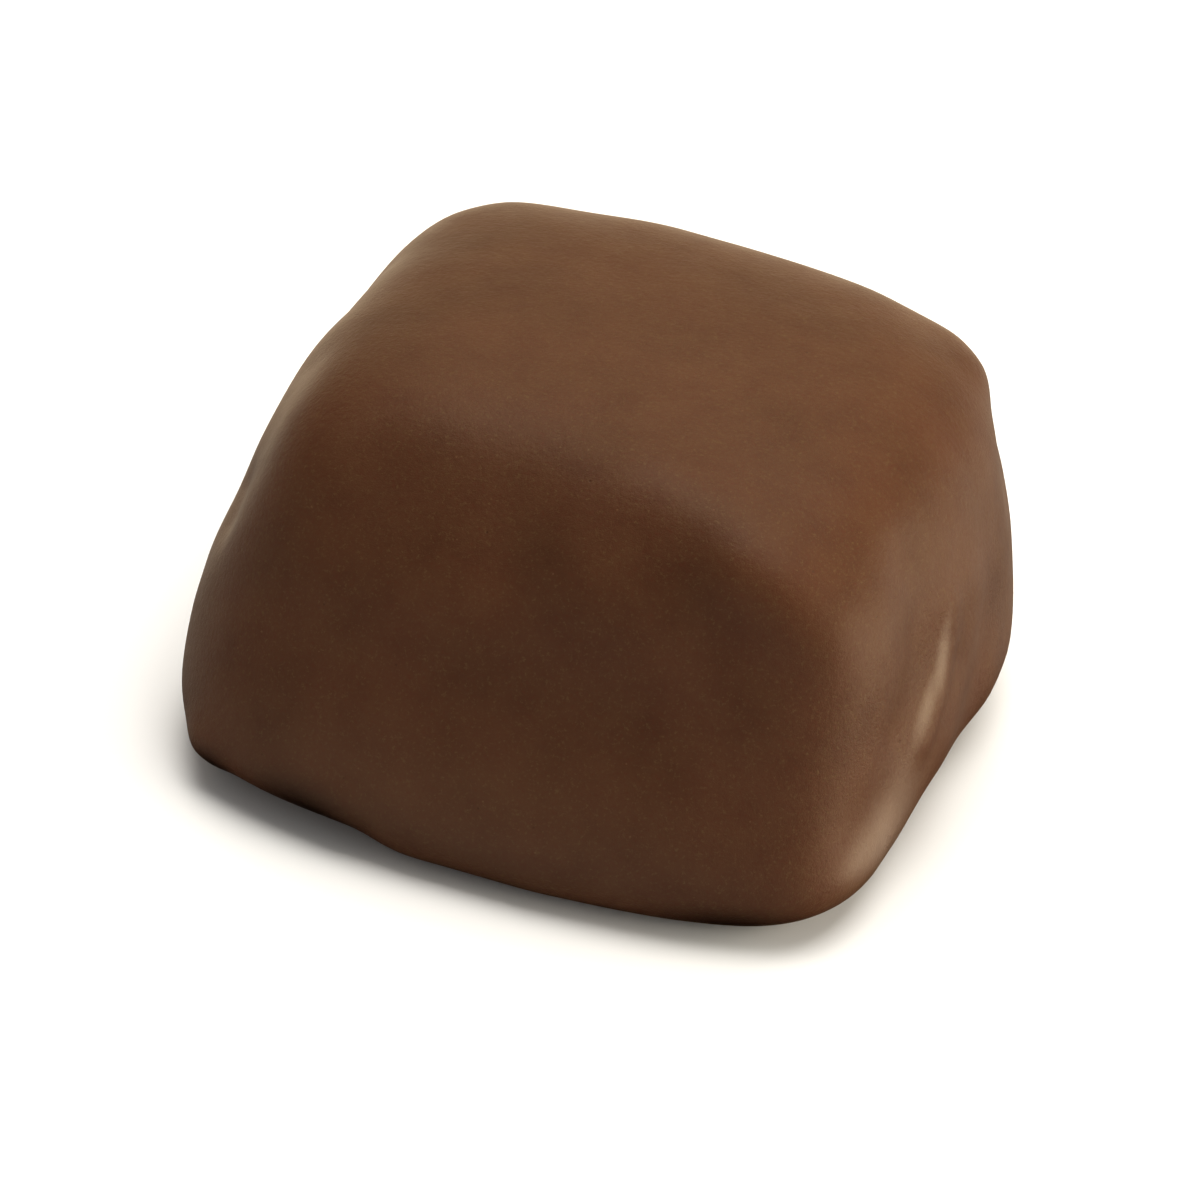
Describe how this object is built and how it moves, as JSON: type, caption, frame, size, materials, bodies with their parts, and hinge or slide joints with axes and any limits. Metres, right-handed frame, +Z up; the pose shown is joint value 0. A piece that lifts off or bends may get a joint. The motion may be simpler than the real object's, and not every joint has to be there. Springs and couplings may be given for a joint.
{
  "type": "milk chocolate square",
  "caption": "Dipped milk chocolate sweet: a plain, softly rounded square block with sloping walls, a crowned top and a flat underside.",
  "frame": {"origin": "middle of the object's box, on the flat underside that it rests on", "axes": "+Z up; +X towards the wall with the slumped fold in its coating; -Y towards the front wall that the picture shows in full"},
  "size_m": [0.0314, 0.0328, 0.0176],
  "materials": {
    "milk_chocolate": "satin"
  },
  "bodies": {
    "root": {"chocolate_square": "milk_chocolate"}
  },
  "joints": []
}
